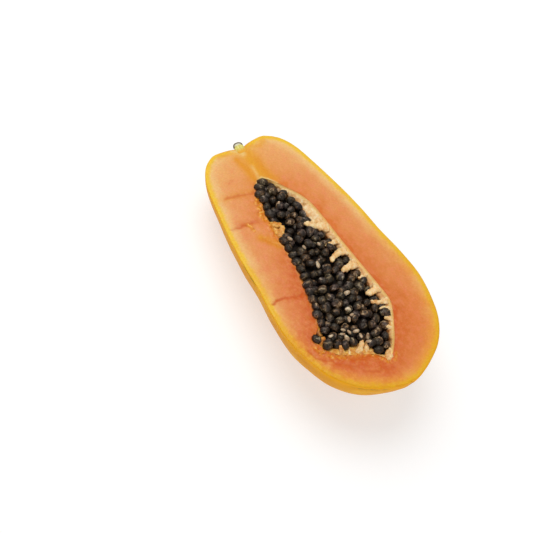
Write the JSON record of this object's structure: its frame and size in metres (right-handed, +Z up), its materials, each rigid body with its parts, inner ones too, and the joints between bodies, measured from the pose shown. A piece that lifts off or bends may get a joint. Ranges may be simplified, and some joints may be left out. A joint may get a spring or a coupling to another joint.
{
  "type": "halved papaya fruit",
  "caption": "Ripe papaya cut lengthwise, lying on its back: smooth skin, orange flesh, seed hollow with a pale lining and a heap of black seeds, stem stub.",
  "frame": {"origin": "middle of the bounding box, at the surface the half lies on", "axes": "+X along the fruit from the stem end to the blossom end, level with the surface; +Z up, out of the cut face; +Y across"},
  "size_m": [0.2174, 0.1116, 0.06],
  "materials": {
    "skin_and_flesh": "moist orange flesh in a thin yellow skin",
    "placenta": "pale, soft and spongy",
    "seeds": "wet, wrinkled, nearly black",
    "stem": "dry, corky rim round a yellow-green core"
  },
  "bodies": {
    "root": {"flesh_half": "skin_and_flesh", "placenta": "placenta", "seed_mass": "seeds", "stem_stub": "stem"}
  },
  "joints": []
}
